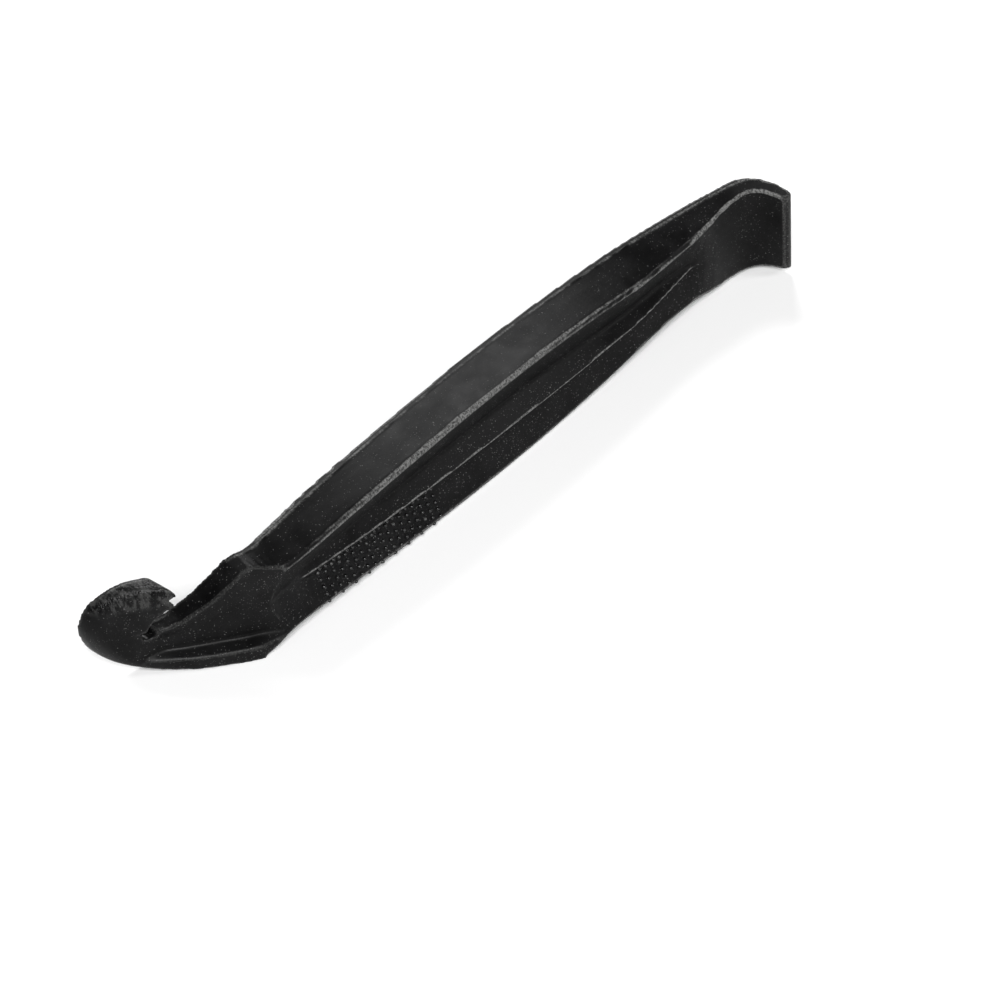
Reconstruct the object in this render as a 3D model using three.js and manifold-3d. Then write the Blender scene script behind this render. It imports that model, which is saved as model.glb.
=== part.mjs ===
// Tyre lever with a bead lip at one end and a spoke hook at the other.
// Millimetres. +X runs from the hook to the lip, +Y points to the open back, +Z is across the width.
// The lever stands on its lower side wall, with the mouth of the spoke hook facing up.

import * as THREE from "three";
import { mergeVertices } from "three/addons/utils/BufferGeometryUtils.js";
import Module from "manifold-3d";

const wasm = await Module();
wasm.setup();

// ---------------------------------------------------------------- driving dimensions

const WIDTH = 14.8;
const MID_Z = WIDTH / 2;
const HOOK_X = -61.7;
const LIP_X = 60;

const FRONT_Y = -6.1;            // plane of the two long front edges
const FRONT_END_X = 50.5;
const RIDGE_START_X = -38;       // the ridge rises out of one valley here
const RIDGE_END_X = 45.5;        // and ends in a small step here
const EDGE_BEVEL_Z = 0.6;        // flat worn bevel along each front edge
const EDGE_BEVEL_Y = 0.4;
const EDGE_BEVEL_FADE = 6;       // it fades out over this length before the lip

const HEEL_X = -43;              // where the body ends and the hook's neck begins
const HEEL_FRONT_X = -44.6;
const RIM_WIDTH = 2.5;
const RECESS_DRAFT = 0.35;
const FLOOR_THICKNESS = 3.4;     // from the front of the ridge to the floor of the open back
const FLOOR_SWELL = 0.45;        // the floor rises behind each groove
const RECESS_START_X = -42;
const RECESS_END_X = 51;
const FLOOR_RUN_OUT = 9;

const NECK_RIM = 2.1;            // lower rim of the hollow in the neck's front
const NECK_HOLLOW = 2.2;
const HOOK_ROUNDING = 2.1;       // the hook's outer edge is rounded off towards its front

const SLOT_RADIUS = 0.9;         // round end of the spoke slot
const SLOT_X = -55.3;
const SLOT_Z = 6.3;

const HOLE_RADIUS = 1.5;         // support pin holes over the core
const HOLE_XS = [-27.5, 26.5];
const EJECTOR_RADIUS = 2.5;      // ejector pin witness marks
const EJECTOR_XS = [-33.2, 34.4];
const EJECTOR_DEPTH = 0.2;

const CORE_RADIUS = 0.6;         // bowed steel rod under the ridge
const CORE_DEPTH = 2.35;         // from the front of the ridge to the rod's centre line
const CORE_OVERRUN = 0.9;        // how far the rod reaches past each pin hole's centre
const CORE_GAP = 0.15;

// ---------------------------------------------------------------- geometry helpers

// Smooth y over x through a few control points [x, y].
function smoothCurve(points) {
  return (x) => {
    const last = points.length - 1;
    if (x <= points[0][0]) return points[0][1];
    if (x >= points[last][0]) return points[last][1];
    const i = points.findIndex((point, index) => index < last && x < points[index + 1][0]);
    const slope = (k) => {
      const a = points[Math.max(k - 1, 0)];
      const b = points[Math.min(k + 1, last)];
      return (b[1] - a[1]) / (b[0] - a[0]);
    };
    const [x0, y0] = points[i];
    const [x1, y1] = points[i + 1];
    const span = x1 - x0;
    const t = (x - x0) / span;
    const rise = t * t * (3 - 2 * t);
    const startPull = t * (1 - t) * (1 - t) * span * slope(i);
    const endPull = -t * t * (1 - t) * span * slope(i + 1);
    return y0 + (y1 - y0) * rise + startPull + endPull;
  };
}

const vectors = (points) => points.map(([a, b]) => new THREE.Vector2(a, b));

const clamp = (value, low, high) => Math.min(high, Math.max(low, value));

// Evenly spaced values from start to end, both included.
function steps(start, end, count) {
  return Array.from({ length: count + 1 }, (_, i) => start + ((end - start) * i) / count);
}

function toSolid(geometry) {
  const bare = geometry.clone();
  for (const name of Object.keys(bare.attributes)) {
    if (name !== "position") bare.deleteAttribute(name);
  }
  const merged = mergeVertices(bare, 1e-4);
  return new wasm.Manifold(new wasm.Mesh({
    numProp: 3,
    vertProperties: new Float32Array(merged.attributes.position.array),
    triVerts: new Uint32Array(merged.index.array),
  }));
}

function toGeometry(solid) {
  const mesh = solid.getMesh();
  const geometry = new THREE.BufferGeometry();
  geometry.setAttribute("position", new THREE.BufferAttribute(mesh.vertProperties, 3));
  geometry.setIndex(new THREE.BufferAttribute(mesh.triVerts, 1));
  const faceted = geometry.toNonIndexed();
  faceted.computeVertexNormals();
  return faceted;
}

// The ring's points, put in anticlockwise order as seen from +X.
function anticlockwise(ring) {
  return THREE.ShapeUtils.isClockWise(vectors(ring)) ? [...ring].reverse() : ring;
}

// A closed solid through one ring of [y, z] points for each x.
function loft(xs, ringAt) {
  const rings = xs.map((x) => anticlockwise(ringAt(x)).map(([y, z]) => new THREE.Vector3(x, y, z)));
  const size = rings[0].length;
  const positions = [];
  const addFace = (...corners) => {
    for (const corner of corners) positions.push(corner.x, corner.y, corner.z);
  };
  for (let i = 0; i + 1 < rings.length; i += 1) {
    for (let j = 0; j < size; j += 1) {
      const next = (j + 1) % size;
      addFace(rings[i][j], rings[i][next], rings[i + 1][next]);
      addFace(rings[i][j], rings[i + 1][next], rings[i + 1][j]);
    }
  }
  const capFaces = (ring) => THREE.ShapeUtils.triangulateShape(vectors(ring.map((p) => [p.y, p.z])), []);
  const first = rings[0];
  const last = rings[rings.length - 1];
  for (const [a, b, c] of capFaces(first)) addFace(first[a], first[c], first[b]);
  for (const [a, b, c] of capFaces(last)) addFace(last[a], last[b], last[c]);
  const geometry = new THREE.BufferGeometry();
  geometry.setAttribute("position", new THREE.Float32BufferAttribute(positions, 3));
  return toSolid(geometry);
}

// A shape drawn in X and Y, extruded up through the whole width.
function extrudeAcrossWidth(shape) {
  const geometry = new THREE.ExtrudeGeometry(shape, { depth: WIDTH, bevelEnabled: false, curveSegments: 24 });
  return toSolid(geometry);
}

// A shape drawn in X and Z, extruded along Y from yStart to yEnd.
function extrudeThroughThickness(shape, yStart, yEnd) {
  const geometry = new THREE.ExtrudeGeometry(shape, {
    depth: yEnd - yStart,
    bevelEnabled: false,
    curveSegments: 10,
  });
  geometry.rotateX(Math.PI / 2);
  geometry.translate(0, yEnd, 0);
  return toSolid(geometry);
}

// A round pin along Y.
function pinAlongY(radius, x, yStart, yEnd) {
  const geometry = new THREE.CylinderGeometry(radius, radius, yEnd - yStart, 40);
  geometry.translate(x, (yStart + yEnd) / 2, MID_Z);
  return toSolid(geometry);
}

// ---------------------------------------------------------------- curves along the lever

// Back surface of the rim, seen from the side.
const rimY = smoothCurve([
  [-63, 11.9], [-58, 9.1], [-53, 5.9], [-47, 1.9], [HEEL_X, -0.5], [-38, -0.2], [-29, 0.6],
  [-11, 1.5], [10, 1.8], [32, 0.8], [42, -0.4], [49, -1.5], [55.5, -2.8],
]);

// Half of the front face's width: a lens that widens again at the heel and towards the lip.
const frontHalfWidth = smoothCurve([
  [HEEL_FRONT_X, MID_Z], [-42.3, 6.4], [-40, 5.8], [-35, 5.8], [-29, 6.2], [-17, 6.9],
  [-4, MID_Z + 0.02], [10, MID_Z + 0.02], [23, 6.7], [34, 5.7], [43, 5.6], [50, 6.3], [56, 6.9], [61, 7.2],
]);

// Front surface: raked hook and neck, straight body, and a slight rise towards the lip.
const frontY = smoothCurve([
  [-63, 8.9], [-59, 6.8], [-56, 4.4], [-51.5, -0.2], [-47.5, -3.5], [HEEL_FRONT_X, -5.4], [-41.5, FRONT_Y],
  [30, FRONT_Y], [40, FRONT_Y + 0.35], [50, FRONT_Y + 0.5],
]);

// Depth of the ridge line behind the front surface. In the middle it stands out of it.
const ridgeDepth = smoothCurve([
  [RIDGE_START_X, 1.75], [-33, 1.2], [-20, 0.25], [4, -0.6], [28, -0.65], [38, -0.05], [RIDGE_END_X, 0.8],
]);

// Depth of the groove on each side of the ridge.
const grooveDepth = smoothCurve([
  [HEEL_FRONT_X, 0.05], [-42, 1.4], [RIDGE_START_X, 1.8], [-33, 1.95], [-20, 1.8], [4, 1.65], [28, 1.4],
  [RIDGE_END_X - 2, 1.4], [RIDGE_END_X, 0.9], [RIDGE_END_X + 1.0, 0.3], [FRONT_END_X - 1, 0],
]);

// Distance of each groove's bottom from the centre line: the grooves meet in a point at both ends.
const grooveOffset = smoothCurve([
  [RIDGE_START_X, 0.15], [-33, 1.5], [-20, 2.0], [4, 2.3], [18, 1.9], [28, 1.3], [38, 0.95],
  [RIDGE_END_X, 0.4],
]);

function ridgeY(x) {
  return frontY(x) + Math.min(ridgeDepth(x), grooveDepth(x));
}

// The floor of the open back bows with the ridge and runs out level with the rim at both ends.
function floorY(x) {
  const bowed = ridgeY(x) + FLOOR_THICKNESS;
  const fromEnd = Math.min(x - RECESS_START_X, RECESS_END_X - x) / FLOOR_RUN_OUT;
  const level = (1 - clamp(fromEnd, 0, 1)) ** 2;
  const top = rimY(x) + 0.01;
  return Math.min(top, bowed + (top - bowed) * level);
}

// Upper side of the neck, from the slot to the body.
const neckTopPoints = [
  [SLOT_X + 1, SLOT_Z + 0.4], [-53, 7.0], [-51.8, 7.6], [-48.8, 10.0], [-46.6, 12.4], [-45.2, 14.1],
  [HEEL_X - 1, WIDTH],
];
const neckTopZ = smoothCurve(neckTopPoints);

// Depth of the hollow in the neck's front, and of the hollow's open upper edge.
const hollowDepth = smoothCurve([
  [-57.3, 0], [-55.5, 1.0], [-53, NECK_HOLLOW], [-44.5, NECK_HOLLOW], [-40.2, 0],
]);
const hollowTopDepth = smoothCurve([
  [-57.3, 0], [-55, 1.0], [-52, 1.8], [-45.5, 1.9], [-42.5, 1.0], [-40.2, 0],
]);

// ---------------------------------------------------------------- lever body

// The lever seen from the side: back surface, curled lip, front plane, heel and raked hook.
function sideProfile() {
  const shape = new THREE.Shape();
  const blankProud = 1;
  shape.moveTo(-63, rimY(-63));
  for (const x of steps(-63, HEEL_X, 24)) shape.lineTo(x, frontY(x));
  shape.lineTo(HEEL_X + 1, FRONT_Y - blankProud);
  shape.lineTo(46, FRONT_Y - blankProud);
  shape.lineTo(47.5, FRONT_Y + 0.35);
  shape.bezierCurveTo(50, -5.45, 53.5, -5.2, 55.8, -5.9);
  shape.bezierCurveTo(57.6, -6.5, 58.1, -8.2, 58.4, -10.5);
  shape.quadraticCurveTo(59.3, -11.3, LIP_X, -10.6);
  shape.bezierCurveTo(60.3, -7.2, 59.8, -3.9, 55.5, rimY(55.5));
  for (const x of steps(55.5, -63, 60).slice(1)) shape.lineTo(x, rimY(x));
  return shape;
}

// The lever seen from the back: straight sides, round lip corners and the J of the spoke hook.
function planOutline() {
  const cornerX = LIP_X - 2.0;
  const cornerZ = 1.2;
  const end = LIP_X + 0.3;
  const shape = new THREE.Shape();
  shape.moveTo(-48, 0);
  shape.lineTo(cornerX, 0);
  shape.quadraticCurveTo(end, 0, end, cornerZ);
  shape.lineTo(end, WIDTH - cornerZ);
  shape.quadraticCurveTo(end, WIDTH, cornerX, WIDTH);
  for (const [x, z] of [...neckTopPoints].reverse()) shape.lineTo(x, z);
  shape.absarc(SLOT_X, SLOT_Z, SLOT_RADIUS, Math.PI * 0.1, Math.PI * 0.8, true);
  shape.splineThru(vectors([[-55.7, 7.7], [-55.2, 8.7], [-54.6, 9.7], [-53.9, 10.6]]));
  shape.absarc(-54.0, 11.5, 0.85, -Math.PI * 0.4, Math.PI * 0.4, false);
  shape.absarc(-53.9, 13.35, 0.95, -Math.PI * 0.36, Math.PI * 0.55, false);
  shape.splineThru(vectors([
    [-56.0, 14.3], [-58.2, 13.5], [-60.6, 11.6], [HOOK_X, 8.6], [-61.1, 5.2], [-58.6, 2.2], [-54.4, 0.45],
    [-48, 0],
  ]));
  return shape;
}

// Everything in front of the front face and outside its bevelled cheeks. Past the front face only the
// cheeks go on, at the same slope, to the end of the lip.
function frontMould() {
  const outside = 2;
  const lipDepth = 6;
  const ring = (x) => {
    const cheekY = rimY(x) - 0.6;
    const cheekSlope = (MID_Z - frontHalfWidth(x)) / (cheekY - frontY(x));
    const drop = x > FRONT_END_X ? lipDepth : 0;
    const half = frontHalfWidth(x) - cheekSlope * drop;
    const front = frontY(x) - drop;
    const bevel = clamp((FRONT_END_X - x) / EDGE_BEVEL_FADE, 0.02, 1);
    const upper = [
      [front - 4, MID_Z + outside],
      [cheekY, MID_Z + outside],
      [cheekY, MID_Z],
      [front + EDGE_BEVEL_Y * bevel, half],
      [front, half - EDGE_BEVEL_Z * bevel],
      [front + grooveDepth(x), grooveOffset(x)],
    ];
    const lower = upper.map(([y, z]) => [y, -z]).reverse();
    return [...upper, [ridgeY(x) - drop, 0], ...lower].map(([y, z]) => [y, MID_Z + z]);
  };
  return loft(steps(HEEL_FRONT_X, LIP_X + 1, 106), ring);
}

// The hollow in the front of the neck. It is open above and ends in a tall rim below.
function neckMould() {
  const clearance = 0.4;
  const rimDraft = 0.7;
  const ring = (x) => {
    const front = frontY(x);
    const bottom = front + Math.max(hollowDepth(x), 0.01);
    const top = neckTopZ(x);
    return [
      [front - 3, top + clearance],
      [front + hollowTopDepth(x), top + clearance],
      [front + hollowTopDepth(x), top - clearance],
      [bottom, top - (top - NECK_RIM) * 0.4],
      [bottom, NECK_RIM + rimDraft],
      [front - 0.05, NECK_RIM],
      [front - 3, NECK_RIM],
    ];
  };
  return loft(steps(-57.2, -40.2, 36), ring);
}

// Keeps the hook inside an outline whose front edge is rounded off, and takes in the whole of the rest.
function hookEnvelope() {
  const hookEndX = -50;
  const overlap = 10;
  const below = -2.2;
  const above = WIDTH + 0.6;
  const outline = new THREE.Shape();
  outline.moveTo(hookEndX + overlap, below);
  outline.lineTo(hookEndX, below);
  outline.splineThru(vectors([
    [-54.6, -1.2], [-58.8, 1.6], [-61.1, 5.2], [HOOK_X, 8.6], [-60.6, 11.6], [-58.2, 13.6], [-55.4, 14.6],
    [hookEndX + 2, above],
  ]));
  outline.lineTo(hookEndX + overlap, above);
  outline.closePath();
  const depth = 6;
  const geometry = new THREE.ExtrudeGeometry(outline, {
    depth,
    curveSegments: 30,
    bevelEnabled: true,
    bevelThickness: HOOK_ROUNDING,
    bevelSize: HOOK_ROUNDING,
    bevelOffset: -HOOK_ROUNDING,
    bevelSegments: 5,
  });
  geometry.rotateX(Math.PI / 2);
  geometry.translate(0, depth + HOOK_ROUNDING - 0.1, 0);
  const place = geometry.attributes.position;
  for (let i = 0; i < place.count; i += 1) place.setY(i, place.getY(i) + frontY(place.getX(i)));
  const restLength = 120;
  const rest = new THREE.BoxGeometry(restLength, 60, 30);
  rest.translate(hookEndX + restLength / 2, 0, MID_Z);
  return toSolid(geometry).add(toSolid(rest));
}

// The core of the open back, with a swelling behind each groove.
function recessMould() {
  const ring = (x) => {
    const floor = floorY(x);
    const behindGroove = grooveOffset(x);
    const swell = FLOOR_SWELL * Math.min(1, behindGroove / 2);
    const wallZ = MID_Z - RIM_WIDTH;
    const upper = [
      [rimY(x) + 3, wallZ],
      [rimY(x) + 0.02, wallZ],
      [floor, wallZ - RECESS_DRAFT],
      [floor + swell, behindGroove + 0.8],
      [floor + swell, behindGroove + 0.2],
      [floor, behindGroove * 0.6],
    ];
    const lower = upper.map(([y, z]) => [y, -z]).reverse();
    return [...upper, ...lower].map(([y, z]) => [y, MID_Z + z]);
  };
  return loft(steps(RECESS_START_X, RECESS_END_X, 60), ring);
}

// The thin step of an ejector pin's witness mark, sunk into the recess floor.
function ejectorMarks() {
  const reach = 3;
  const marks = EJECTOR_XS.map((x) => {
    const floor = floorY(x);
    return pinAlongY(EJECTOR_RADIUS, x, floor - EJECTOR_DEPTH, floor + reach);
  });
  return marks[0].add(marks[1]);
}

// A round rod of the given radius that follows the bow of the ridge.
function bowedRod(radius, overrun) {
  const sides = 16;
  const ring = (x) => Array.from({ length: sides }, (_, i) => {
    const angle = (2 * Math.PI * i) / sides;
    return [ridgeY(x) + CORE_DEPTH + radius * Math.cos(angle), MID_Z + radius * Math.sin(angle)];
  });
  return loft(steps(HOLE_XS[0] - overrun, HOLE_XS[1] + overrun, 24), ring);
}

// The rod's cavity, open to the back through the two support pin holes.
function coreCavity() {
  const holes = HOLE_XS.map((x) => pinAlongY(HOLE_RADIUS, x, ridgeY(x) + CORE_DEPTH, rimY(x) + 1));
  return bowedRod(CORE_RADIUS + CORE_GAP, CORE_OVERRUN + CORE_GAP).add(holes[0]).add(holes[1]);
}

function leverBody() {
  const blank = extrudeAcrossWidth(sideProfile()).intersect(extrudeThroughThickness(planOutline(), -12, 12));
  return blank
    .intersect(hookEnvelope())
    .subtract(frontMould())
    .subtract(neckMould())
    .subtract(recessMould())
    .subtract(ejectorMarks())
    .subtract(coreCavity());
}

// ---------------------------------------------------------------- assembly

const blackNylon = new THREE.MeshStandardMaterial({ color: 0x1b1c1e, roughness: 0.5, metalness: 0 });
const darkSteel = new THREE.MeshStandardMaterial({ color: 0x55585c, roughness: 0.45, metalness: 1 });

function namedMesh(name, solid, material) {
  const mesh = new THREE.Mesh(toGeometry(solid), material);
  mesh.name = name;
  return mesh;
}

const lever = new THREE.Group();
lever.name = "tyre_lever";
lever.add(namedMesh("lever_body", leverBody(), blackNylon));
lever.add(namedMesh("steel_core", bowedRod(CORE_RADIUS, CORE_OVERRUN), darkSteel));

// The origin lies under the middle of the whole lever.
const middle = new THREE.Box3().setFromObject(lever).getCenter(new THREE.Vector3());
lever.position.set(-middle.x, -middle.y, 0);

export default lever;
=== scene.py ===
import bpy
import numpy as np
from mathutils import Matrix, Vector
from mathutils.bvhtree import BVHTree


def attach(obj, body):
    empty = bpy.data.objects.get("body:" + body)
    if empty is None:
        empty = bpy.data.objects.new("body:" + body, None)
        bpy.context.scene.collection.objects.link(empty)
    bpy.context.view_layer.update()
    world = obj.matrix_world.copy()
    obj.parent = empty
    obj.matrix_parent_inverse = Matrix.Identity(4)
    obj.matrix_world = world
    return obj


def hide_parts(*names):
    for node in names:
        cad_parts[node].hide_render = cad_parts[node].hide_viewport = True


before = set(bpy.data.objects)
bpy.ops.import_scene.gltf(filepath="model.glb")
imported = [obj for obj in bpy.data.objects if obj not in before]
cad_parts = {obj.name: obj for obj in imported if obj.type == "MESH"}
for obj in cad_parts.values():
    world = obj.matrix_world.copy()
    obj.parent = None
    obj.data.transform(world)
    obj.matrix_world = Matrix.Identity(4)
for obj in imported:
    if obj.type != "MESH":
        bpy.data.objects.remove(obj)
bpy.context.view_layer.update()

MM = 0.001

# ---------------------------------------------------------------- driving values, in millimetres

WELD_GAP = 0.002             # corners of the solid closer than this become one
VOXEL = 0.2                  # fineness of the rounded body's mesh
ROUNDING_STEPS = 8           # how far the moulded edges are rounded off
SMOOTH_IN = 0.55             # each step smooths the skin and then swells it back
SMOOTH_OUT = 0.35
EDGE_STEPS = 14              # reach of the edge and crease measure
EDGE_SPREAD = 0.6            # how strongly each of those steps smooths
EDGE_FULL = 0.08             # a vertex standing this far out of its surroundings is fully an edge

SEAM_DEPTH = 0.9             # the parting line, below the back edge of each side wall
SEAM_HALF_WIDTH = 0.16
SEAM_HEIGHT = 0.06
SLICE = 0.5                  # the back edge is found once in each slice along the lever
SIDE_FACING = (0.8, 0.95)    # a wall whose normal leans this far to the side carries the line

DOT_COLUMNS = 18
DOT_FIRST_X = -32.2
DOT_PITCH_X = 1.30
DOT_PITCH_Z = 0.97
DOT_ROWS = (6, 5)            # dots in the odd and the even columns
DOT_RADIUS = 0.30
DOT_HEIGHT = 0.30
DOT_SUNK = 0.1               # depth of each dot's foot in the body
DOT_RINGS = (0.0, 0.45, 0.8, 1.0)
DOT_SIDES = 10
FRONT_OF_ALL = -20           # rays towards the front face start here
LOWER_EDGE_START = 0.1       # the search for the front face's lower edge, upwards from here
LOWER_EDGE_STEP = 0.05
LOWER_EDGE_STEPS = 60
UNDERSIDE_FACING = -0.3      # a normal that leans further down belongs to the underside

CAMERA_PLACE = (-346.17, -324.80, 408.55)
CAMERA_RIGHT = (0.6442, -0.76348, -0.04591)
CAMERA_UP = (0.5262, 0.39883, 0.75103)
CAMERA_BACK = (-0.55508, -0.50797, 0.65867)
LENS = 166.34
SENSOR_WIDTH = 36
NEAREST_SEEN = 0.01          # metres
FURTHEST_SEEN = 20           # metres

FLOOR_SIZE = 6000
FLOOR_GAP = 0.1              # keeps the floor clear of the rounded skin


# ---------------------------------------------------------------- node helpers

def new_material(name):
    """A material with an empty node tree, its Principled shader and its tree."""
    material = bpy.data.materials.new(name)
    material.use_nodes = True
    tree = material.node_tree
    tree.nodes.clear()
    output = tree.nodes.new("ShaderNodeOutputMaterial")
    shader = tree.nodes.new("ShaderNodeBsdfPrincipled")
    tree.links.new(shader.outputs["BSDF"], output.inputs["Surface"])
    return material, tree, shader


def add(tree, kind, inputs=None, **settings):
    """A node of that kind. An input is a socket to link or a value to set."""
    made = tree.nodes.new(kind)
    for key, value in settings.items():
        setattr(made, key, value)
    for key, value in (inputs or {}).items():
        if isinstance(value, bpy.types.NodeSocket):
            tree.links.new(value, made.inputs[key])
        else:
            made.inputs[key].default_value = value
    return made


def calc(tree, operation, a, b=0.0, clamp=False):
    """A Math node's result."""
    made = add(tree, "ShaderNodeMath", {0: a, 1: b}, operation=operation, use_clamp=clamp)
    return made.outputs[0]


def times(tree, a, b):
    return calc(tree, "MULTIPLY", a, b)


def plus(tree, a, b):
    return calc(tree, "ADD", a, b)


def minus(tree, a, b):
    return calc(tree, "SUBTRACT", a, b)


def mark(tree, name):
    """A number stored on the mesh's vertices."""
    return add(tree, "ShaderNodeAttribute", attribute_name=name).outputs["Fac"]


def ramp(tree, value, low, high, to_low=0.0, to_high=1.0):
    """The value carried smoothly from low..high to to_low..to_high."""
    made = add(tree, "ShaderNodeMapRange", {
        "Value": value, "From Min": low, "From Max": high, "To Min": to_low, "To Max": to_high,
    }, interpolation_type="SMOOTHSTEP")
    return made.outputs["Result"]


def noise(tree, place, size_mm, detail=2.0, roughness=0.5):
    """Noise whose blotches are about size_mm across."""
    made = add(tree, "ShaderNodeTexNoise", {
        "Vector": place, "Scale": 1 / (size_mm * MM), "Detail": detail, "Roughness": roughness,
    })
    return made.outputs["Fac"]


def stretched(tree, place, scale):
    """The place, scaled differently along each axis, for streaks and scratches."""
    return add(tree, "ShaderNodeVectorMath", {0: place, 1: scale}, operation="MULTIPLY").outputs[0]


def mix_colour(tree, factor, low, high):
    made = add(tree, "ShaderNodeMix", {"Factor": factor}, data_type="RGBA")
    for index, colour in ((6, low), (7, high)):
        if isinstance(colour, bpy.types.NodeSocket):
            tree.links.new(colour, made.inputs[index])
        else:
            made.inputs[index].default_value = (*colour, 1)
    return made.outputs[2]


def bump(tree, height, depth_mm, strength=1.0, normal=None):
    made = add(tree, "ShaderNodeBump", {
        "Height": height, "Distance": depth_mm * MM, "Strength": strength,
    })
    if normal is not None:
        tree.links.new(normal, made.inputs["Normal"])
    return made.outputs["Normal"]


# ---------------------------------------------------------------- materials

NYLON_COLOUR = (0.0018, 0.0018, 0.0019)
NYLON_PALE = (0.0055, 0.0055, 0.0057)
DUST_COLOUR = (0.16, 0.16, 0.157)
# Pale wear colours; the first two also paint the highlight along the edges.
WORN_AND_HIGHLIGHT_COLOUR = (0.17, 0.17, 0.167)
SCRAPED_AND_HIGHLIGHT_COLOUR = (0.38, 0.38, 0.375)
# Painted shade for creases and hollows.
CREASE_SHADE_COLOUR = (0.002, 0.002, 0.002)
NYLON_IOR = 1.38
NYLON_SPECULAR = 0.15

# Where each kind of wear, gloss and painted edge highlight starts and where it is full, in metres.
LIP_X = (0.030, 0.054)
HOOK_X = (-0.040, -0.047)
BODY_X = (-0.0405, -0.0375)
LIP_TIP_Y = (-0.0106, -0.0098)
RIDGE_Z = (0.0070, 0.0085)
SCUFF_X = (0.0, 0.054)
PAST_SLOT_X = (-0.0500, -0.0530)
HOOK_ARM_Z = (0.0108, 0.0122)


def black_nylon():
    """Filled black nylon: fine grain, ripples, dust specks, worn edges with a painted highlight,
    painted shade in creases and a scraped hook.
    """
    material, tree, shader = new_material("black_nylon")
    place = add(tree, "ShaderNodeTexCoord").outputs["Object"]
    axes = add(tree, "ShaderNodeSeparateXYZ", {"Vector": place}).outputs
    facing = add(tree, "ShaderNodeSeparateXYZ", {
        "Vector": add(tree, "ShaderNodeNewGeometry").outputs["Normal"],
    }).outputs

    grain = noise(tree, place, 0.28, detail=3.0, roughness=0.65)
    patches = noise(tree, place, 5.0, detail=3.0, roughness=0.6)
    ripple = noise(tree, stretched(tree, place, (0.35, 1.0, 1.0)), 2.6, detail=1.5)
    speck = noise(tree, place, 0.17, detail=0.0)
    grit = noise(tree, place, 0.24, detail=2.0, roughness=0.75)
    scrape = noise(tree, stretched(tree, place, (1.0, 0.5, 0.35)), 0.6, detail=3.0, roughness=0.7)

    # Parts of the lever, by place and by the way the surface faces.
    towards_lip = ramp(tree, axes["X"], *LIP_X)
    towards_hook = ramp(tree, axes["X"], *HOOK_X)
    on_body = ramp(tree, axes["X"], *BODY_X, 0.15, 1.0)
    short_of_tip = ramp(tree, axes["Y"], *LIP_TIP_Y, 0.3, 1.0)
    on_back = ramp(tree, facing["Y"], 0.35, 0.8)
    on_front = ramp(tree, facing["Y"], -0.3, -0.85)
    above_ridge = ramp(tree, axes["Z"], *RIDGE_Z)
    underneath = times(tree, ramp(tree, facing["Z"], -0.05, -0.35), above_ridge)
    scuffed = times(tree, on_back, ramp(tree, axes["X"], *SCUFF_X, 0.25, 1.0))
    past_slot = ramp(tree, axes["X"], *PAST_SLOT_X)
    hook_arm = times(tree, past_slot, ramp(tree, axes["Z"], *HOOK_ARM_Z))

    # Dust lies in sparse specks, thicker on the front face and over the whole back.
    dust_area = plus(tree, times(tree, on_front, 0.8), times(tree, on_back, 1.8))
    dust_level = plus(tree, times(tree, patches, 0.14), times(tree, dust_area, 0.03))
    dust = ramp(tree, plus(tree, speck, dust_level), 0.835, 0.91)

    # Edges and the parting line get speckled pale lines: partly wear, partly a painted highlight
    # where they would catch light.
    seam = times(tree, mark(tree, "seam"), ramp(tree, patches, 0.4, 0.6))
    sharpness = plus(tree, mark(tree, "edge"), times(tree, towards_lip, 0.12))
    line = times(tree, ramp(tree, sharpness, 0.50, 0.9), on_body)
    line = calc(tree, "MAXIMUM", times(tree, line, short_of_tip), seam)
    edge_wear_and_highlight = times(tree, line, ramp(tree, grain, 0.36, 0.62, 0.2, 1.0))
    # The same lines of wear and painted highlight, made paler on the scuffed back.
    whitened_wear_and_highlight = times(tree, times(tree, edge_wear_and_highlight, scuffed), 0.5)

    # The back is scuffed with fine grit, most of all near the lip, and the hook's arm is scraped.
    grit_level = plus(tree, grit, times(tree, patches, 0.4))
    grit_level = plus(tree, grit_level, times(tree, scuffed, 0.08))
    scars = times(tree, scuffed, ramp(tree, grit_level, 0.80, 0.94))
    scraped = times(tree, hook_arm, ramp(tree, scrape, 0.45, 0.62))

    tone = mix_colour(tree, ramp(tree, patches, 0.35, 0.7), NYLON_COLOUR, NYLON_PALE)
    tone = mix_colour(tree, times(tree, dust, 0.6), tone, DUST_COLOUR)
    # Edge lines: wear plus a painted highlight.
    tone = mix_colour(tree, times(tree, edge_wear_and_highlight, 0.85), tone, WORN_AND_HIGHLIGHT_COLOUR)
    tone = mix_colour(tree, times(tree, scars, 0.75), tone, WORN_AND_HIGHLIGHT_COLOUR)
    # Paler edge lines on the back: wear plus a painted highlight.
    tone = mix_colour(tree, whitened_wear_and_highlight, tone, SCRAPED_AND_HIGHLIGHT_COLOUR)
    tone = mix_colour(tree, times(tree, scraped, 0.16), tone, WORN_AND_HIGHLIGHT_COLOUR)
    # Painted shade: creases and hollows are darkened.
    tone = mix_colour(tree, times(tree, mark(tree, "crease"), 0.7), tone, CREASE_SHADE_COLOUR)
    tree.links.new(tone, shader.inputs["Base Color"])

    rough = ramp(tree, patches, 0.3, 0.75, 0.38, 0.5)
    rough = plus(tree, rough, times(tree, grain, 0.08))
    rough = minus(tree, rough, times(tree, towards_hook, 0.14))
    rough = minus(tree, rough, times(tree, hook_arm, 0.06))
    rough = plus(tree, rough, times(tree, underneath, 0.28))
    gritty = times(tree, calc(tree, "MAXIMUM", dust, scars), 0.2)
    rough = calc(tree, "ADD", rough, gritty, clamp=True)
    tree.links.new(rough, shader.inputs["Roughness"])

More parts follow.
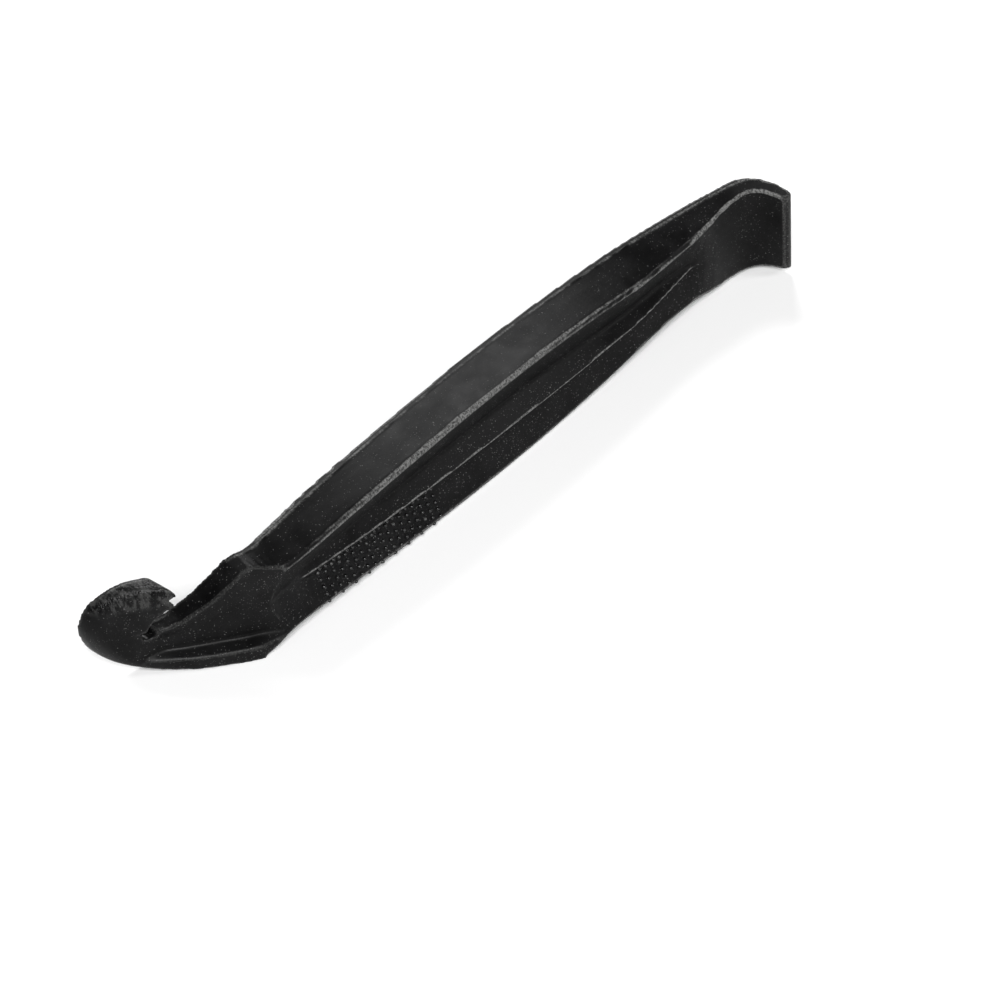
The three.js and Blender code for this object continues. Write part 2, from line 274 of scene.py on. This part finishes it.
    normal = bump(tree, ripple, 0.12, 0.5)
    normal = bump(tree, grain, 0.03, 0.5, normal)
    normal = bump(tree, times(tree, scuffed, grit), 0.06, 0.8, normal)
    normal = bump(tree, times(tree, hook_arm, scrape), 0.25, 0.8, normal)
    tree.links.new(normal, shader.inputs["Normal"])
    shader.inputs["IOR"].default_value = NYLON_IOR
    shader.inputs["Specular IOR Level"].default_value = NYLON_SPECULAR
    return material


def dot_nylon():
    """The same nylon on the grip dots, smoother all over, with a few worn patches."""
    material, tree, shader = new_material("grip_nylon")
    place = add(tree, "ShaderNodeTexCoord").outputs["Object"]
    patches = noise(tree, place, 1.8, detail=2.0)
    grain = noise(tree, place, 0.12, detail=2.0)
    tone = mix_colour(tree, ramp(tree, grain, 0.5, 0.75), NYLON_COLOUR, NYLON_PALE)
    tone = mix_colour(tree, ramp(tree, patches, 0.55, 0.8, 0.0, 0.25), tone, WORN_AND_HIGHLIGHT_COLOUR)
    tree.links.new(tone, shader.inputs["Base Color"])
    tree.links.new(ramp(tree, patches, 0.3, 0.7, 0.20, 0.34), shader.inputs["Roughness"])
    tree.links.new(bump(tree, grain, 0.02, 0.4), shader.inputs["Normal"])
    shader.inputs["IOR"].default_value = 1.5
    return material


def drawn_steel():
    """Dark drawn steel rod, with streaks along its length and a little brown oxide."""
    material, tree, shader = new_material("drawn_steel")
    place = add(tree, "ShaderNodeTexCoord").outputs["Object"]
    streaks = noise(tree, stretched(tree, place, (0.05, 1.0, 1.0)), 0.15, detail=3.0)
    oxide = noise(tree, place, 0.9, detail=4.0, roughness=0.65)
    tone = mix_colour(tree, ramp(tree, streaks, 0.35, 0.7), (0.13, 0.13, 0.135), (0.27, 0.27, 0.28))
    stained = ramp(tree, oxide, 0.55, 0.72)
    tone = mix_colour(tree, stained, tone, (0.09, 0.05, 0.03))
    tree.links.new(tone, shader.inputs["Base Color"])
    tree.links.new(minus(tree, 1.0, times(tree, stained, 0.7)), shader.inputs["Metallic"])
    tree.links.new(ramp(tree, streaks, 0.3, 0.7, 0.32, 0.5), shader.inputs["Roughness"])
    tree.links.new(bump(tree, streaks, 0.02, 0.5), shader.inputs["Normal"])
    return material


def pale_floor():
    material, tree, shader = new_material("pale_floor")
    place = add(tree, "ShaderNodeTexCoord").outputs["Object"]
    tone = mix_colour(tree, noise(tree, place, 60.0), (0.88, 0.88, 0.88), (0.90, 0.90, 0.90))
    tree.links.new(tone, shader.inputs["Base Color"])
    shader.inputs["Roughness"].default_value = 0.9
    shader.inputs["Specular IOR Level"].default_value = 0.1
    return material


# ---------------------------------------------------------------- meshes

def link(obj):
    bpy.context.scene.collection.objects.link(obj)
    return obj


def positions(mesh):
    flat = np.zeros(len(mesh.vertices) * 3, np.float32)
    mesh.vertices.foreach_get("co", flat)
    return flat.reshape(-1, 3).astype(float)


def vertex_normals(mesh):
    flat = np.zeros(len(mesh.vertices) * 3, np.float32)
    mesh.vertices.foreach_get("normal", flat)
    return flat.reshape(-1, 3).astype(float)


def store(mesh, name, value):
    attribute = mesh.attributes.new(name, "FLOAT", "POINT")
    attribute.data.foreach_set("value", np.clip(value, 0, 1).astype(np.float32))


def neighbour_average(mesh):
    """A function that gives, for each vertex, the average of a quantity over its neighbours."""
    edges = np.zeros(len(mesh.edges) * 2, np.int32)
    mesh.edges.foreach_get("vertices", edges)
    a, b = edges.reshape(-1, 2).T
    count = len(mesh.vertices)
    degree = np.maximum(np.bincount(a, minlength=count) + np.bincount(b, minlength=count), 1)

    def average(values):
        columns = [
            np.bincount(a, values[b, k], count) + np.bincount(b, values[a, k], count)
            for k in range(values.shape[1])
        ]
        return np.stack(columns, 1) / degree[:, None]

    return average


def rounded_body(node):
    """The CAD body remade as one fine, evenly meshed skin with softly rounded edges."""
    mesh = node.data.copy()
    mesh.transform(Matrix.Scale(1 / MM, 4))
    body = link(bpy.data.objects.new("moulded_body", mesh))
    weld = body.modifiers.new("weld", "WELD")
    weld.merge_threshold = WELD_GAP
    remesh = body.modifiers.new("remesh", "REMESH")
    remesh.mode = "VOXEL"
    remesh.voxel_size = VOXEL
    evaluated = body.evaluated_get(bpy.context.evaluated_depsgraph_get())
    skin = bpy.data.meshes.new_from_object(evaluated)
    body.modifiers.clear()
    body.data = skin
    average = neighbour_average(skin)
    place = positions(skin)
    for _ in range(ROUNDING_STEPS):
        place += SMOOTH_IN * (average(place) - place)
        place -= SMOOTH_OUT * (average(place) - place)
    skin.vertices.foreach_set("co", place.astype(np.float32).ravel())
    skin.shade_smooth()
    skin.update()
    raise_parting_line(skin, place)
    mark_edges(skin, place, average)
    skin.transform(Matrix.Scale(MM, 4))
    return body


def raise_parting_line(skin, place):
    """A thin line of flash along both side walls, a little below their back edges."""
    normals = vertex_normals(skin)
    slice_of = np.round(place[:, 0] / SLICE).astype(int)
    slice_of -= slice_of.min()
    back = np.full(slice_of.max() + 1, -1e9)
    np.maximum.at(back, slice_of, place[:, 1])
    grid = (np.arange(len(back)) * SLICE) + place[:, 0].min()
    below = np.interp(place[:, 0], grid, back) - place[:, 1]
    on_side = np.interp(np.abs(normals[:, 2]), SIDE_FACING, (0, 1))
    line = np.exp(-(((below - SEAM_DEPTH) / SEAM_HALF_WIDTH) ** 2)) * on_side
    place += normals * (line * SEAM_HEIGHT)[:, None]
    skin.vertices.foreach_set("co", place.astype(np.float32).ravel())
    skin.update()
    store(skin, "seam", line)


def mark_edges(skin, place, average):
    """Stores how far each vertex stands out of its surroundings, or sinks into them."""
    calm = place.copy()
    for _ in range(EDGE_STEPS):
        calm = (1 - EDGE_SPREAD) * calm + EDGE_SPREAD * average(calm)
    proud = np.einsum("ij,ij->i", place - calm, vertex_normals(skin))
    store(skin, "edge", proud / EDGE_FULL)
    store(skin, "crease", -proud / EDGE_FULL)


def grip_dots(body):
    """The staggered field of small domes on the lower slope of the front face."""
    tree = BVHTree.FromObject(body, bpy.context.evaluated_depsgraph_get())
    vertices, faces = [], []
    for column in range(DOT_COLUMNS):
        x = DOT_FIRST_X + column * DOT_PITCH_X
        rows = DOT_ROWS[column % 2]
        lowest = lower_edge_z(tree, x) + (column % 2) * DOT_PITCH_Z / 2
        for row in range(rows):
            z = lowest + row * DOT_PITCH_Z
            start = Vector((x, FRONT_OF_ALL, z)) * MM
            point, normal, _, _ = tree.ray_cast(start, Vector((0, 1, 0)))
            if point is not None:
                add_dome(vertices, faces, point, normal)
    mesh = bpy.data.meshes.new("grip_dots")
    mesh.from_pydata(vertices, [], faces)
    mesh.shade_smooth()
    return link(bpy.data.objects.new("grip_dots", mesh))


def lower_edge_z(tree, x):
    """Height, in millimetres, of the front face's lower edge at x."""
    for step in range(LOWER_EDGE_STEPS):
        z = LOWER_EDGE_START + step * LOWER_EDGE_STEP
        point, normal, _, _ = tree.ray_cast(Vector((x, FRONT_OF_ALL, z)) * MM, Vector((0, 1, 0)))
        if point is not None and normal.z > UNDERSIDE_FACING:
            return z
    return 1.0


def add_dome(vertices, faces, point, normal):
    """One dome that stands on the surface at the point, sunk a little way into it."""
    side = normal.cross(Vector((1, 0, 0))).normalized()
    along = side.cross(normal)
    first = len(vertices)
    heights = [DOT_HEIGHT * (1 - (share * share)) for share in DOT_RINGS]
    heights[-1] = -DOT_SUNK
    vertices.append(point + normal * (heights[0] * MM))
    for share, height in zip(DOT_RINGS[1:], heights[1:]):
        for k in range(DOT_SIDES):
            angle = 2 * np.pi * k / DOT_SIDES
            spread = (along * np.cos(angle) + side * np.sin(angle)) * (share * DOT_RADIUS * MM)
            vertices.append(point + spread + normal * (height * MM))

    def ring(level, k):
        return first + 1 + level * DOT_SIDES + k % DOT_SIDES

    for k in range(DOT_SIDES):
        faces.append((first, ring(0, k), ring(0, k + 1)))
        for level in range(len(DOT_RINGS) - 2):
            lower, upper = level, level + 1
            faces.append((ring(lower, k), ring(upper, k), ring(upper, k + 1), ring(lower, k + 1)))
    faces.append([ring(len(DOT_RINGS) - 2, k) for k in reversed(range(DOT_SIDES))])


# ---------------------------------------------------------------- stage

def make_floor():
    half = FLOOR_SIZE * MM / 2
    low = -FLOOR_GAP * MM
    mesh = bpy.data.meshes.new("floor")
    corners = [(-half, -half, low), (half, -half, low), (half, half, low), (-half, half, low)]
    mesh.from_pydata(corners, [], [(0, 1, 2, 3)])
    floor = link(bpy.data.objects.new("floor", mesh))
    floor.data.materials.append(pale_floor())


def area_light(name, place, size, power):
    """A round soft light that faces the lever."""
    data = bpy.data.lights.new(name, "AREA")
    data.shape = "DISK"
    data.size = size
    data.energy = power
    light = link(bpy.data.objects.new(name, data))
    light.location = place
    light.rotation_euler = (-Vector(place)).to_track_quat("-Z", "Y").to_euler()


def make_lights():
    world = bpy.data.worlds.new("soft_room")
    world.use_nodes = True
    background = world.node_tree.nodes["Background"]
    background.inputs["Color"].default_value = (1, 1, 1, 1)
    background.inputs["Strength"].default_value = 0.08
    bpy.context.scene.world = world
    area_light("key", (0.52, 0.60, 0.72), 0.40, 6.5)
    area_light("camera_fill", (-0.62, -0.55, 0.80), 0.60, 17.0)
    area_light("front_fill", (0.62, -0.70, 0.55), 0.30, 3.0)
    area_light("hook_fill", (-0.35, 0.85, 0.75), 0.25, 1.6)


def make_camera():
    data = bpy.data.cameras.new("camera")
    data.lens = LENS
    data.sensor_width = SENSOR_WIDTH
    data.clip_start = NEAREST_SEEN
    data.clip_end = FURTHEST_SEEN
    camera = link(bpy.data.objects.new("camera", data))
    axes = Matrix((CAMERA_RIGHT, CAMERA_UP, CAMERA_BACK)).transposed().to_4x4()
    camera.matrix_world = Matrix.Translation(Vector(CAMERA_PLACE) * MM) @ axes
    bpy.context.scene.camera = camera


# ---------------------------------------------------------------- assembly

def make_lever():
    body = rounded_body(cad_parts["lever_body"])
    body.data.materials.clear()
    body.data.materials.append(black_nylon())
    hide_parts("lever_body")
    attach(body, "root")

    dots = grip_dots(body)
    dots.data.materials.append(dot_nylon())
    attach(dots, "root")

    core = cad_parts["steel_core"]
    core.material_slots[0].material = drawn_steel()


bpy.context.scene.view_settings.view_transform = "Standard"
make_lever()
make_floor()
make_lights()
make_camera()
